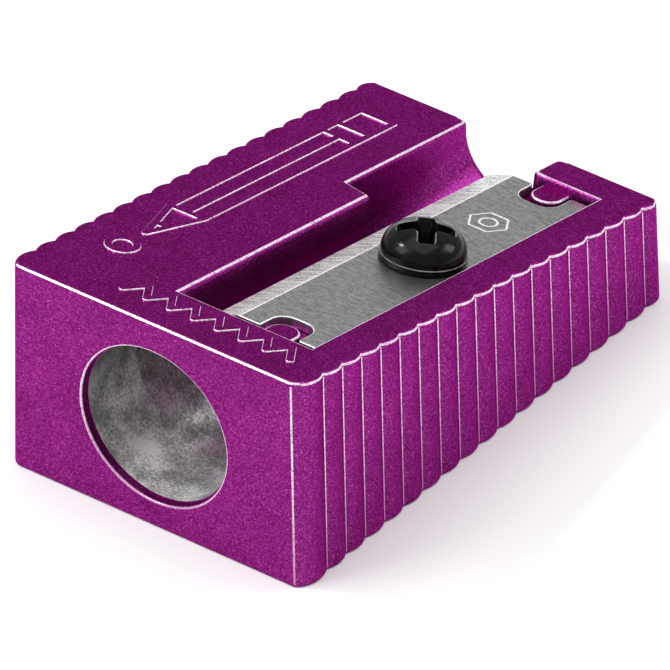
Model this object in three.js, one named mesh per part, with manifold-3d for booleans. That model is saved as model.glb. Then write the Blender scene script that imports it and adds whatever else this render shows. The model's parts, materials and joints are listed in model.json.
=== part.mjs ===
// A wedge-shaped metal pencil sharpener: a cast body, a blade, and the screw that holds the blade.
// Millimetres. +Z is up, +Y runs from the pencil's mouth to the low end, and the origin is the
// middle of the base. Many sizes are given on the sloping roof: x across it, s down it from its
// front edge, and a height above it, so a negative height is a depth below the roof.
import * as THREE from 'three';
import { mergeVertices } from 'three/addons/utils/BufferGeometryUtils.js';
import Module from 'manifold-3d';

// Body
const BODY_LENGTH = 28.5; // front to back, at the base
const BODY_WIDTH = 17.0; // valley to valley of the ribs, at the base
const BODY_HEIGHT = 11.53; // at the front edge
const TAPER_ANGLE = THREE.MathUtils.degToRad(11.82); // the roof's slope and half the cone's angle
const SIDE_DRAFT = 0.018; // how far a side leans in for each millimetre of height
const END_DRAFT = 0.0235; // the same for the front and the back
const RIB_PITCH = 1.483;
const RIB_HEIGHT = 0.21;
const FRONT_LOBE = 1.97; // from the front face to the first valley
const BACK_LOBE_MIN = 1.0; // shortest stretch from the last valley to the back face

// Pencil mouth, bore and cone
const AXIS_BELOW_TOP = 5.88; // from the roof's front edge down to the pencil's axis
const MOUTH_RADIUS = 4.2;
const MOUTH_DEPTH = 0.42;
const BORE_RADIUS = 4.1;
const CONE_BELOW_ROOF = 0.87; // depth of the cone's top line, which is parallel to the roof

// Chip slot, between the roof slab and the cutting edge
const SLAB_EDGE_X = -1.06;
const CHIP_SLOT_DEPTH = 1.75;
const SEAT_LEDGE = 0.1; // how far the seat's edge lies behind the cutting edge

// Shavings channel at the low end
const CHANNEL_RADIUS = 2.6;
const CHANNEL_BELOW_AXIS = 0.78; // the channel's centre line, below the pencil's axis
const CHANNEL_LENGTH = 10.4; // along Y on the pencil's axis, from the back face
const CHANNEL_SKEW = THREE.MathUtils.degToRad(12); // turn of the channel's front wall

// Blade
const BLADE_LENGTH = 21.8;
const BLADE_WIDTH = 6;
const BLADE_THICKNESS = 0.49;
const BEVEL_WIDTH = 1.35;
const BLADE_BELOW_ROOF = 0.41; // depth of the blade's upper face
const CUTTING_EDGE_X = 0.42;
const NOTCH_RADIUS = 1.1;
const NOTCH_DEPTH = 1.73;

// Blade seat
const SEAT_FROM_FRONT = 3.85; // along the roof
const SEAT_GAP_FRONT = 0.85; // between the seat's end and the blade's end
const SEAT_GAP_BACK = 0.3;
const SEAT_GAP_SIDE = 0.07;
const SEAT_GAP_UNDER = 0.04;
const LUG_BELOW_ROOF = 0.48;
const LUG_GAP_SIDE = 0.3; // between a locating lug and its notch
const LUG_GAP_END = 0.62;

// Screw
const SCREW_FROM_EDGE = 3.63; // across the blade, from the cutting edge
const SCREW_FROM_END = 11.3; // along the blade, from its front end
const SCREW_RADIUS = 1.25;
const SCREW_LENGTH = 4.5; // under the head
const SCREW_CHAMFER = 0.25;
const SCREW_GAP = 0.05; // around the shank, in the body
const SCREW_END_GAP = 0.5;
const BLADE_HOLE_GAP = 0.15; // around the shank, in the blade
const HEAD_RADIUS = 2.1;
const HEAD_RIM = 0.33;
const HEAD_DOME = 1.42;
const HEAD_GAP = 0.04; // under the head
const RECESS_REACH = 1.36; // from the screw's axis to the end of a recess arm
const RECESS_ARM_WIDTH = 0.74;
const RECESS_FLOOR = 0.55; // above the underside of the head
const RECESS_TURN = THREE.MathUtils.degToRad(36);

// Raised ornament on the roof: a pencil, a ring and a zigzag pencil stroke
const RELIEF_HEIGHT = 0.12;
const RELIEF_WIDTH = 0.48;
const RELIEF_ROOT = 0.25; // how far a stroke reaches into the body
const PENCIL_X = -5.75; // the pencil's middle line
const PENCIL_HALF_WIDTH = 0.96;
const PENCIL_TIP_S = 7.4;
const PENCIL_SHOULDER_S = 10.6;
const PENCIL_FERRULE_S = 22.6;
const PENCIL_FERRULE_LENGTH = 1.2;
const PENCIL_END_S = 25.7;
const LEAD_FRACTION = 0.38; // of the pencil's point, from its tip
const RING_S = 5.6;
const RING_RADIUS = 0.92;
const ZIGZAG_START_X = -3.0;
const ZIGZAG_END_X = 6.6;
const ZIGZAG_STEPS = 14;
const ZIGZAG_S = 2.55;
const ZIGZAG_HALF_HEIGHT = 0.55;

// Facets
const LOBE_STEPS = 4;
const END_LOBE_STEPS = 9;
const BORE_STEPS = 64;
const HEAD_STEPS = 40;
const ARC_STEPS = 14;

const REACH = 40; // longer than the body, for cuts that pass right out of it

// Values worked out from the sizes above
const FRONT_Y = -BODY_LENGTH / 2;
const BACK_Y = BODY_LENGTH / 2;
const AXIS_Z = BODY_HEIGHT - AXIS_BELOW_TOP;
const SLOPE = Math.tan(TAPER_ANGLE);
const CONE_START_Y =
  FRONT_Y + (AXIS_BELOW_TOP - BORE_RADIUS - CONE_BELOW_ROOF / Math.cos(TAPER_ANGLE)) / SLOPE;
const CHANNEL_START_Y = BACK_Y - CHANNEL_LENGTH;
const CONE_END_Y = CHANNEL_START_Y + CHANNEL_RADIUS * Math.tan(CHANNEL_SKEW) + 1;
const CONE_END_RADIUS = Math.max(BORE_RADIUS - (CONE_END_Y - CONE_START_Y) * SLOPE, 0.1);
const BLADE_TOP = -BLADE_BELOW_ROOF;
const BLADE_BOTTOM = BLADE_TOP - BLADE_THICKNESS;
const SEAT_FLOOR = BLADE_BOTTOM - SEAT_GAP_UNDER;
const BLADE_FRONT_S = SEAT_FROM_FRONT + SEAT_GAP_FRONT;
const BLADE_BACK_S = BLADE_FRONT_S + BLADE_LENGTH;
const SEAT_BACK_S = BLADE_BACK_S + SEAT_GAP_BACK;
const BLADE_RIGHT_X = CUTTING_EDGE_X + BLADE_WIDTH;
const SEAT_RIGHT_X = BLADE_RIGHT_X + SEAT_GAP_SIDE;
const SCREW_X = CUTTING_EDGE_X + SCREW_FROM_EDGE;
const SCREW_S = BLADE_FRONT_S + SCREW_FROM_END;
const HEAD_BOTTOM = BLADE_TOP + HEAD_GAP;

const wasm = await Module();
wasm.setup();

// A closed three.js geometry as a solid that can be joined and cut.
function solid(geometry) {
  const bare = geometry.index ? geometry.toNonIndexed() : geometry.clone();
  for (const name of Object.keys(bare.attributes)) {
    if (name !== 'position') bare.deleteAttribute(name);
  }
  const merged = mergeVertices(bare, 1e-5);
  const triVerts = Uint32Array.from(merged.index.array);
  const vertProperties = Float32Array.from(merged.attributes.position.array);
  const shape = new wasm.Manifold(new wasm.Mesh({ numProp: 3, vertProperties, triVerts }));
  if (shape.volume() > 0) return shape;
  for (let i = 0; i < triVerts.length; i += 3) {
    [triVerts[i], triVerts[i + 1]] = [triVerts[i + 1], triVerts[i]];
  }
  return new wasm.Manifold(new wasm.Mesh({ numProp: 3, vertProperties, triVerts }));
}

function named(name, shape, color, roughness, metalness) {
  const { vertProperties, triVerts } = shape.getMesh();
  const geometry = new THREE.BufferGeometry();
  geometry.setAttribute('position', new THREE.BufferAttribute(vertProperties, 3));
  geometry.setIndex(new THREE.BufferAttribute(triVerts, 1));
  geometry.computeVertexNormals();
  const mesh = new THREE.Mesh(
    geometry,
    new THREE.MeshStandardMaterial({ color, roughness, metalness }),
  );
  mesh.name = name;
  return mesh;
}

// A block between two corners.
function block(low, high) {
  const size = high.map((value, i) => value - low[i]);
  const middle = high.map((value, i) => (value + low[i]) / 2);
  return new THREE.BoxGeometry(...size).translate(...middle);
}

// A flat outline pushed up from one height to another.
function prism(outline, bottom, top) {
  const shape = outline instanceof THREE.Shape ? outline : new THREE.Shape(outline);
  const options = { depth: top - bottom, bevelEnabled: false, curveSegments: ARC_STEPS };
  return new THREE.ExtrudeGeometry(shape, options).translate(0, 0, bottom);
}

// Moves a shape made as (x, s, height) onto the roof.
function onRoof(geometry) {
  return geometry.rotateX(-TAPER_ANGLE).translate(0, FRONT_Y, BODY_HEIGHT);
}

// One side of a convex rib, as points from valley to valley, without its last point.
function lobe(startY, endY) {
  const chord = endY - startY;
  const radius = (RIB_HEIGHT ** 2 + (chord / 2) ** 2) / (2 * RIB_HEIGHT);
  const half = Math.asin(chord / 2 / radius);
  const centreX = BODY_WIDTH / 2 + RIB_HEIGHT - radius;
  return Array.from({ length: LOBE_STEPS }, (_, i) => {
    const angle = -half + (2 * half * i) / LOBE_STEPS;
    const y = (startY + endY) / 2 + radius * Math.sin(angle);
    return new THREE.Vector2(centreX + radius * Math.cos(angle), y);
  });
}

// The rounded corner between an end face and the first valley, from the end face.
function cornerLobe(endY, valleyY) {
  const span = Math.abs(valleyY - endY);
  const radius = RIB_HEIGHT + span - Math.sqrt(2 * RIB_HEIGHT * span);
  const inward = Math.sign(valleyY - endY);
  const centre = new THREE.Vector2(BODY_WIDTH / 2 + RIB_HEIGHT - radius, endY + inward * radius);
  const last = Math.asin((span - radius) / radius);
  return Array.from({ length: END_LOBE_STEPS }, (_, i) => {
    const angle = -Math.PI / 2 + ((last + Math.PI / 2) * i) / END_LOBE_STEPS;
    const x = centre.x + radius * Math.cos(angle);
    return new THREE.Vector2(x, centre.y + inward * radius * Math.sin(angle));
  });
}

function bodyOutline() {
  const firstValley = FRONT_Y + FRONT_LOBE;
  const room = BODY_LENGTH - FRONT_LOBE - BACK_LOBE_MIN;
  const ribs = Math.floor(room / RIB_PITCH);
  const side = cornerLobe(FRONT_Y, firstValley);
  for (let i = 0; i < ribs; i += 1) {
    const start = firstValley + i * RIB_PITCH;
    side.push(...lobe(start, start + RIB_PITCH));
  }
  const lastValley = firstValley + ribs * RIB_PITCH;
  side.push(new THREE.Vector2(BODY_WIDTH / 2, lastValley));
  side.push(...cornerLobe(BACK_Y, lastValley).reverse());
  const mirrored = side.map((point) => new THREE.Vector2(-point.x, point.y)).reverse();
  return [...side, ...mirrored];
}

// Leans the sides and ends of a shape inwards as they rise.
function drafted(geometry) {
  const position = geometry.attributes.position;
  for (let i = 0; i < position.count; i += 1) {
    const z = position.getZ(i);
    position.setX(i, position.getX(i) * (1 - (SIDE_DRAFT * z) / (BODY_WIDTH / 2)));
    position.setY(i, position.getY(i) * (1 - (END_DRAFT * z) / (BODY_LENGTH / 2)));
  }
  return geometry;
}

function pencilCavity() {
  const profile = [
    [0, FRONT_Y - 1],
    [MOUTH_RADIUS, FRONT_Y - 1],
    [MOUTH_RADIUS, FRONT_Y + MOUTH_DEPTH],
    [BORE_RADIUS, FRONT_Y + MOUTH_DEPTH],
    [BORE_RADIUS, CONE_START_Y],
    [CONE_END_RADIUS, CONE_END_Y],
    [0, CONE_END_Y],
  ].map(([radius, y]) => new THREE.Vector2(radius, y));
  return new THREE.LatheGeometry(profile, BORE_STEPS).translate(0, 0, AXIS_Z);
}

// The U-shaped channel, open upwards and at the back.
function shavingsChannel() {
  const outline = new THREE.Shape();
  outline.moveTo(CHANNEL_RADIUS, 0);
  outline.lineTo(CHANNEL_RADIUS, BODY_HEIGHT);
  outline.lineTo(-CHANNEL_RADIUS, BODY_HEIGHT);
  outline.lineTo(-CHANNEL_RADIUS, 0);
  outline.absarc(0, 0, CHANNEL_RADIUS, Math.PI, 2 * Math.PI, false);
  const geometry = new THREE.ExtrudeGeometry(outline, {
    depth: CHANNEL_LENGTH + 1,
    bevelEnabled: false,
    curveSegments: 2 * ARC_STEPS,
  });
  geometry.rotateX(Math.PI / 2).translate(0, BACK_Y + 1, AXIS_Z - CHANNEL_BELOW_AXIS);
  const position = geometry.attributes.position;
  for (let i = 0; i < position.count; i += 1) {
    if (position.getY(i) < BACK_Y) {
      position.setY(i, position.getY(i) - position.getX(i) * Math.tan(CHANNEL_SKEW));
    }
  }
  return geometry;
}

// The half-round outline of a notch or a lug, from a straight end at s inwards by its reach.
function halfRound(s, inward, reach, radius) {
  const outline = new THREE.Shape();
  const shoulder = s + inward * (reach - radius);
  outline.moveTo(SCREW_X - radius, s - inward);
  outline.lineTo(SCREW_X - radius, shoulder);
  outline.absarc(SCREW_X, shoulder, radius, Math.PI, 0, inward > 0);
  outline.lineTo(SCREW_X + radius, s - inward);
  return outline;
}

function bladeSeat() {
  const floor = solid(
    onRoof(block([SLAB_EDGE_X, SEAT_FROM_FRONT, SEAT_FLOOR], [SEAT_RIGHT_X, SEAT_BACK_S, REACH])),
  );
  const lugRadius = NOTCH_RADIUS - LUG_GAP_SIDE;
  const tips = [
    [SEAT_FROM_FRONT, 1, SEAT_GAP_FRONT + NOTCH_DEPTH - LUG_GAP_END],
    [SEAT_BACK_S, -1, SEAT_GAP_BACK + NOTCH_DEPTH - LUG_GAP_END],
  ];
  return tips.reduce((seat, [s, inward, reach]) => {
    const lug = halfRound(s, inward, reach, lugRadius);
    return seat.subtract(solid(onRoof(prism(lug, SEAT_FLOOR - 1, -LUG_BELOW_ROOF))));
  }, floor);
}

function chipSlot() {
  const right = CUTTING_EDGE_X + SEAT_LEDGE;
  const back = (CHANNEL_START_Y - FRONT_Y) / Math.cos(TAPER_ANGLE) + CHANNEL_RADIUS;
  return onRoof(block([SLAB_EDGE_X, SEAT_FROM_FRONT, -CHIP_SLOT_DEPTH], [right, back, REACH]));
}

function screwHole(radius, depth) {
  const height = REACH + depth;
  const shape = new THREE.CylinderGeometry(radius, radius, height, HEAD_STEPS);
  return onRoof(shape.rotateX(Math.PI / 2).translate(SCREW_X, SCREW_S, height / 2 - depth));
}

// A straight raised stroke on the roof, with a little overlap at its ends so that strokes join.
function stroke(from, to) {
  const start = new THREE.Vector2(...from);
  const along = new THREE.Vector2(...to).sub(start);
  const length = along.length() + RELIEF_WIDTH;
  const low = [-RELIEF_WIDTH / 2, -RELIEF_WIDTH / 2, -RELIEF_ROOT];
  const bar = block(low, [length - RELIEF_WIDTH / 2, RELIEF_WIDTH / 2, RELIEF_HEIGHT]);
  return solid(onRoof(bar.rotateZ(along.angle()).translate(start.x, start.y, 0)));
}

function relief() {
  const left = PENCIL_X - PENCIL_HALF_WIDTH;
  const right = PENCIL_X + PENCIL_HALF_WIDTH;
  const ferruleEnd = PENCIL_FERRULE_S + PENCIL_FERRULE_LENGTH;
  const leadS = PENCIL_TIP_S + LEAD_FRACTION * (PENCIL_SHOULDER_S - PENCIL_TIP_S);
  const leadHalf = LEAD_FRACTION * PENCIL_HALF_WIDTH;
  const strokes = [
    [[left, PENCIL_SHOULDER_S], [left, PENCIL_END_S]],
    [[right, PENCIL_SHOULDER_S], [right, PENCIL_END_S]],
    [[PENCIL_X, PENCIL_TIP_S], [left, PENCIL_SHOULDER_S]],
    [[PENCIL_X, PENCIL_TIP_S], [right, PENCIL_SHOULDER_S]],
    [[PENCIL_X - leadHalf, leadS], [PENCIL_X + leadHalf, leadS]],
    [[left, PENCIL_SHOULDER_S], [right, PENCIL_SHOULDER_S]],
    [[PENCIL_X, PENCIL_SHOULDER_S], [PENCIL_X, PENCIL_FERRULE_S]],
    [[left, PENCIL_FERRULE_S], [right, PENCIL_FERRULE_S]],
    [[left, ferruleEnd], [right, ferruleEnd]],
    [[left, PENCIL_END_S], [right, PENCIL_END_S]],
  ];
  const step = (ZIGZAG_END_X - ZIGZAG_START_X) / ZIGZAG_STEPS;
  for (let i = 0; i < ZIGZAG_STEPS; i += 1) {
    const side = i % 2 ? 1 : -1;
    const start = ZIGZAG_START_X + i * step;
    strokes.push([
      [start, ZIGZAG_S + side * ZIGZAG_HALF_HEIGHT],
      [start + step, ZIGZAG_S - side * ZIGZAG_HALF_HEIGHT],
    ]);
  }
  const ring = new THREE.Shape();
  ring.absarc(PENCIL_X, RING_S, RING_RADIUS, 0, 2 * Math.PI, false);
  const inside = new THREE.Path();
  inside.absarc(PENCIL_X, RING_S, RING_RADIUS - RELIEF_WIDTH, 0, 2 * Math.PI, true);
  ring.holes.push(inside);
  const raisedRing = solid(onRoof(prism(ring, -RELIEF_ROOT, RELIEF_HEIGHT)));
  return strokes.reduce((joined, [from, to]) => joined.add(stroke(from, to)), raisedRing);
}

function makeBody() {
  const aboveRoof = block([-REACH, -REACH, 0], [REACH, 2 * REACH, REACH]);
  return solid(drafted(prism(bodyOutline(), 0, BODY_HEIGHT + 1)))
    .subtract(solid(onRoof(aboveRoof)))
    .subtract(solid(pencilCavity()))
    .subtract(solid(shavingsChannel()))
    .subtract(bladeSeat())
    .subtract(solid(chipSlot()))
    .subtract(
      solid(screwHole(SCREW_RADIUS + SCREW_GAP, SCREW_LENGTH + SCREW_END_GAP - HEAD_BOTTOM)),
    )
    .add(relief());
}

// The blade's section is drawn as (x, height) and pushed along s.
function makeBlade() {
  const section = new THREE.Shape([
    new THREE.Vector2(CUTTING_EDGE_X, BLADE_BOTTOM),
    new THREE.Vector2(BLADE_RIGHT_X, BLADE_BOTTOM),
    new THREE.Vector2(BLADE_RIGHT_X, BLADE_TOP),
    new THREE.Vector2(CUTTING_EDGE_X + BEVEL_WIDTH, BLADE_TOP),
  ]);
  const plate = new THREE.ExtrudeGeometry(section, { depth: BLADE_LENGTH, bevelEnabled: false });
  plate.rotateX(Math.PI / 2).translate(0, BLADE_BACK_S, 0);
  const notches = [
    halfRound(BLADE_FRONT_S, 1, NOTCH_DEPTH, NOTCH_RADIUS),
    halfRound(BLADE_BACK_S, -1, NOTCH_DEPTH, NOTCH_RADIUS),
  ];
  return notches
    .reduce(
      (blade, notch) => blade.subtract(solid(onRoof(prism(notch, BLADE_BOTTOM - 1, 1)))),
      solid(onRoof(plate)),
    )
    .subtract(solid(screwHole(SCREW_RADIUS + BLADE_HOLE_GAP, 1 - BLADE_BOTTOM)));
}

function makeScrew() {
  const dome = Array.from({ length: ARC_STEPS }, (_, i) => {
    const angle = (Math.PI / 2) * (i / ARC_STEPS);
    return [HEAD_RADIUS * Math.cos(angle), HEAD_RIM + HEAD_DOME * Math.sin(angle)];
  });
  const profile = [
    [0, -SCREW_LENGTH],
    [SCREW_RADIUS - SCREW_CHAMFER, -SCREW_LENGTH],
    [SCREW_RADIUS, -SCREW_LENGTH + SCREW_CHAMFER],
    [SCREW_RADIUS, 0],
    [HEAD_RADIUS, 0],
    ...dome,
    [0, HEAD_RIM + HEAD_DOME],
  ].map(([radius, height]) => new THREE.Vector2(radius, height));
  const half = RECESS_ARM_WIDTH / 2;
  const arm = [-RECESS_REACH, -half, RECESS_FLOOR];
  const place = (geometry) => onRoof(geometry.translate(SCREW_X, SCREW_S, HEAD_BOTTOM));
  const arms = [0, Math.PI / 2].map((turn) =>
    solid(place(block(arm, [RECESS_REACH, half, REACH]).rotateZ(RECESS_TURN + turn))),
  );
  const turned = new THREE.LatheGeometry(profile, HEAD_STEPS).rotateX(Math.PI / 2);
  return arms.reduce((screw, cut) => screw.subtract(cut), solid(place(turned)));
}

const sharpener = new THREE.Group();
sharpener.add(
  named('body', makeBody(), 0x7f1a6e, 0.35, 0.6),
  named('blade', makeBlade(), 0x9a9a9a, 0.35, 0.9),
  named('screw', makeScrew(), 0x101010, 0.25, 0.6),
);

export default sharpener;
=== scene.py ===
"""A purple metal wedge pencil sharpener on a pale floor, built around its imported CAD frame."""

import json
import math

import bmesh
import bpy
import numpy as np
from mathutils import Matrix, Vector


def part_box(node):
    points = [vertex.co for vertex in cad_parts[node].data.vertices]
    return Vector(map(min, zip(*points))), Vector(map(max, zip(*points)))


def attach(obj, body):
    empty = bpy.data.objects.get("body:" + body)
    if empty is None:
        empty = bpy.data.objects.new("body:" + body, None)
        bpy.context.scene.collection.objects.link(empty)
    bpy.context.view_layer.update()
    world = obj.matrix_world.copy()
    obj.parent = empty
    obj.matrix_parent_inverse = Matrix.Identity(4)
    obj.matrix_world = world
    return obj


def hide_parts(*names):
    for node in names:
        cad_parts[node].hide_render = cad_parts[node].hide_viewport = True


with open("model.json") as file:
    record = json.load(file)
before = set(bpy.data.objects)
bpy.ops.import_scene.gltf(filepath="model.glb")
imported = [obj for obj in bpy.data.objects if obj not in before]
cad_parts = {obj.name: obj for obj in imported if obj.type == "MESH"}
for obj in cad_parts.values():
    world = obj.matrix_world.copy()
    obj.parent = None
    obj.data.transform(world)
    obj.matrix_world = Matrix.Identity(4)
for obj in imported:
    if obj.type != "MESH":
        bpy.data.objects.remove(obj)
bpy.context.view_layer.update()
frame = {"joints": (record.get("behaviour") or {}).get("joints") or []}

# ---------------------------------------------------------------- sizes, in millimetres

MM = 0.001


def in_mm(corner):
    return np.array(corner) / MM


body_low, body_high = (in_mm(corner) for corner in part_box("body"))
blade_low, blade_high = (in_mm(corner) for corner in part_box("blade"))
turn_joint = next(joint for joint in frame["joints"] if joint["name"] == "screw_turn")
TURN_AXIS = np.array(turn_joint["axis"], float)
TURN_POINT = in_mm(turn_joint["pos_m"])

# Body
TAPER = math.atan2(TURN_AXIS[1], TURN_AXIS[2])
SIDE_DRAFT = 0.018
END_DRAFT = 0.0235
RIB_PITCH = 1.483
RIB_HEIGHT = 0.21
FRONT_LOBE = 1.97
BACK_LOBE_MIN = 1.0
FRONT_Y = body_low[1]
BACK_Y = body_high[1]
LENGTH = BACK_Y - FRONT_Y
HALF_WIDTH = body_high[0] - RIB_HEIGHT
ROOF_Z = body_high[2] * (1 + math.tan(TAPER) * END_DRAFT)
CORNER_CREASE = math.radians(36)
VALLEY_TRIM = 0.045
CREASE_TRIM = 0.2
TOP_EDGE = 0.2
BOTTOM_EDGE = 0.16

# Pencil mouth, bore and cone
AXIS_BELOW_TOP = 5.88
AXIS_Z = ROOF_Z - AXIS_BELOW_TOP
MOUTH_RADIUS = 4.2
MOUTH_DEPTH = 0.42
MOUTH_EDGE = 0.09
BORE_RADIUS = 4.1
CONE_BELOW_ROOF = 0.87
CONE_START_Y = FRONT_Y + (
    AXIS_BELOW_TOP - BORE_RADIUS - CONE_BELOW_ROOF / math.cos(TAPER)
) / math.tan(TAPER)

# Chip slot and shavings channel
SLAB_EDGE_X = -1.06
CHIP_SLOT_DEPTH = 1.75
CHANNEL_RADIUS = 2.6
CHANNEL_BELOW_AXIS = 0.78
CHANNEL_Z = AXIS_Z - CHANNEL_BELOW_AXIS
CHANNEL_START_S = 18.5
CHANNEL_SKEW = math.radians(12)
CHANNEL_BACK_EDGE = 0.45
POST_EDGE = 0.35

# Blade and its seat
BLADE_TOP = -0.41
BLADE_THICKNESS = 0.49
BLADE_BOTTOM = BLADE_TOP - BLADE_THICKNESS
CUTTING_EDGE_X = blade_low[0]
BLADE_RIGHT_X = blade_high[0]
BLADE_LENGTH = 21.8
BEVEL_WIDTH = 1.35
SEAT_FROM_FRONT = 3.85
SEAT_GAP_FRONT = 0.85
SEAT_GAP_BACK = 0.3
SEAT_GAP_SIDE = 0.07
SEAT_GAP_UNDER = 0.04
BLADE_FRONT_S = SEAT_FROM_FRONT + SEAT_GAP_FRONT
BLADE_BACK_S = BLADE_FRONT_S + BLADE_LENGTH
SEAT_BACK_S = BLADE_BACK_S + SEAT_GAP_BACK
SEAT_RIGHT_X = BLADE_RIGHT_X + SEAT_GAP_SIDE
SEAT_FLOOR = BLADE_BOTTOM - SEAT_GAP_UNDER
MARK_X = 3.9
MARK_S = 21.5
MARK_DEPTH = 0.02
NOTCH_RADIUS = 1.1
NOTCH_DEPTH = 1.73
LUG_TOP = -0.48
LUG_RADIUS = 0.8
LUG_END_GAP = 0.62

# Screw
SCREW_X = TURN_POINT[0]
SCREW_S = (TURN_POINT[1] - FRONT_Y) / math.cos(TAPER)
SCREW_RADIUS = 1.25
SCREW_LENGTH = 4.5
SCREW_PITCH = 0.45
THREAD_DEPTH = 0.2
THREAD_GAP = 0.06
HEAD_RADIUS = 2.1
HEAD_RIM = 0.33
HEAD_DOME = 1.42
DOME_FULLNESS = 2.3
HEAD_GAP = 0.04
HEAD_BOTTOM = BLADE_TOP + HEAD_GAP
RECESS_TURN = math.radians(36)
RECESS_REACH = 1.36
RECESS_HALF = 0.4
RECESS_FLOOR = 0.6
RECESS_CHAMFER = 0.07

# Raised ornament
RELIEF_HEIGHT = 0.12
RELIEF_HALF_WIDTH = 0.24

ARC = 6

# The materials that each new mesh lists, and each piece's places in that list.
FINISHES = []
# The fourth body finish is a painted highlight along the edges.
LACQUER, BORE, CONE, EDGE_HIGHLIGHT = range(4)
FLAT, BEVEL, POLISHED = range(3)
# The second screw finish paints highlights on edges; the third paints shade in the recess.
OXIDE, RIM_HIGHLIGHT, RECESS_SHADE = range(3)


# ---------------------------------------------------------------- mesh helpers


def roof(x, s, h):
    """A point given on the roof as (across, down the slope, height above it), in body mm."""
    y = FRONT_Y + s * math.cos(TAPER) + h * math.sin(TAPER)
    return np.array([x, y, ROOF_Z - s * math.sin(TAPER) + h * math.cos(TAPER)])


def roof_z(y):
    return ROOF_Z - math.tan(TAPER) * (y - FRONT_Y)


def mesh_object(name, vertices, faces, finishes=None):
    """A mesh from millimetre points; finishes holds each face's index in its material list."""
    mesh = bpy.data.meshes.new(name)
    mesh.from_pydata([tuple(np.array(v) * MM) for v in vertices], [], faces)
    for material in FINISHES:
        mesh.materials.append(material)
    if finishes:
        mesh.polygons.foreach_set("material_index", finishes)
    obj = bpy.data.objects.new(name, mesh)
    bpy.context.scene.collection.objects.link(obj)
    bm = bmesh.new()
    bm.from_mesh(mesh)
    bmesh.ops.recalc_face_normals(bm, faces=bm.faces)
    bm.to_mesh(mesh)
    bm.free()
    return obj


def loft(name, rings, finish=lambda band, side: 0, caps=(0, 0)):
    """A closed solid through rings of equally many points, with a flat cap at each end."""
    count = len(rings[0])
    faces = [tuple(reversed(range(count)))]
    finishes = [caps[0]]
    for k in range(len(rings) - 1):
        low, high = k * count, (k + 1) * count
        for i in range(count):
            j = (i + 1) % count
            faces.append((low + i, low + j, high + j, high + i))
            finishes.append(finish(k, i))
    last = (len(rings) - 1) * count
    faces.append(tuple(range(last, last + count)))
    finishes.append(caps[1])
    return mesh_object(name, [p for ring in rings for p in ring], faces, finishes)


def turned(name, profile, steps, place, finish=lambda band: 0):
    """A solid of revolution: profile holds (radius, height), and its ends are on the axis."""
    vertices = [place(0, 0, profile[0][1])]
    for radius, height in profile[1:-1]:
        for i in range(steps):
            a = 2 * math.pi * i / steps
            vertices.append(place(radius * math.cos(a), radius * math.sin(a), height))
    vertices.append(place(0, 0, profile[-1][1]))
    faces, finishes = [], []
    rings = len(profile) - 2
    for i in range(steps):
        j = (i + 1) % steps
        faces.append((0, 1 + j, 1 + i))
        finishes.append(finish(0))
        for k in range(rings - 1):
            a, b = 1 + k * steps, 1 + (k + 1) * steps
            faces.append((a + i, a + j, b + j, b + i))
            finishes.append(finish(k + 1))
        top = 1 + (rings - 1) * steps
        faces.append((top + i, top + j, len(vertices) - 1))
        finishes.append(finish(rings))
    return mesh_object(name, vertices, faces, finishes)


def combine(target, tool, operation="DIFFERENCE"):
    """Cuts the tool from the target, or joins it on, and deletes the tool."""
    modifier = target.modifiers.new("boolean", "BOOLEAN")
    modifier.object = tool
    modifier.operation = operation
    modifier.solver = "MANIFOLD"
    bpy.context.view_layer.update()
    graph = bpy.context.evaluated_depsgraph_get()
    result = bpy.data.meshes.new_from_object(target.evaluated_get(graph))
    old = target.data
    target.modifiers.clear()
    target.data = result
    result.name = old.name
    bpy.data.meshes.remove(old)
    data = tool.data
    bpy.data.objects.remove(tool)
    bpy.data.meshes.remove(data)


def corner_arc(corner, toward_a, toward_b, radius, steps=ARC):
    """Points of a fillet between two faces that leave a corner along two directions."""
    a = np.array(toward_a, float) / np.linalg.norm(toward_a)
    b = np.array(toward_b, float) / np.linalg.norm(toward_b)
    half = math.acos(max(-1.0, min(1.0, float(a @ b)))) / 2
    middle = (a + b) / np.linalg.norm(a + b)
    centre = np.array(corner) + middle * radius / math.sin(half)
    start = np.array(corner) + a * radius / math.tan(half) - centre
    end = np.array(corner) + b * radius / math.tan(half) - centre
    sweep = math.acos(max(-1.0, min(1.0, float(start @ end) / radius ** 2)))
    points = []
    for i in range(steps + 1):
        t = i / steps
        mix = math.sin((1 - t) * sweep) * start + math.sin(t * sweep) * end
        points.append(centre + mix / math.sin(sweep))
    return points


def rounded(corners, steps=ARC):
    """An anticlockwise outline with rounded corners, as (x, y, normal x, normal y) rows.

    corners holds (x, y, radius). A radius of 0 keeps a sharp corner, with a mitred normal."""
    rows = []
    count = len(corners)
    for i, (x, y, radius) in enumerate(corners):
        here = np.array([x, y], float)
        before = here - np.array(corners[i - 1][:2])
        after = np.array(corners[(i + 1) % count][:2]) - here
        before /= np.linalg.norm(before)
        after /= np.linalg.norm(after)
        n0 = np.array([before[1], -before[0]])
        n1 = np.array([after[1], -after[0]])
        if radius == 0:
            mitre = (n0 + n1) / (1 + float(n0 @ n1))
            rows.append((*here, *mitre))
            continue
        turn = math.atan2(before[0] * after[1] - before[1] * after[0], float(before @ after))
        side = 1 if turn > 0 else -1
        start = here - before * radius * math.tan(abs(turn) / 2)
        centre = start - side * n0 * radius
        a0 = math.atan2(n0[1], n0[0])
        for k in range(steps + 1):
            a = a0 + turn * k / steps
            n = np.array([math.cos(a), math.sin(a)])
            rows.append((*(centre + side * n * radius), *n))
    return rows


def on_roof_prism(name, outline, profile, finish=lambda band, side: 0):
    """A solid standing on the roof: profile holds (inset, height), from bottom to top."""
    rings = [[roof(x - nx * inset, s - ns * inset, h) for x, s, nx, ns in outline]
             for inset, h in profile]
    return loft(name, rings, finish)


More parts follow.
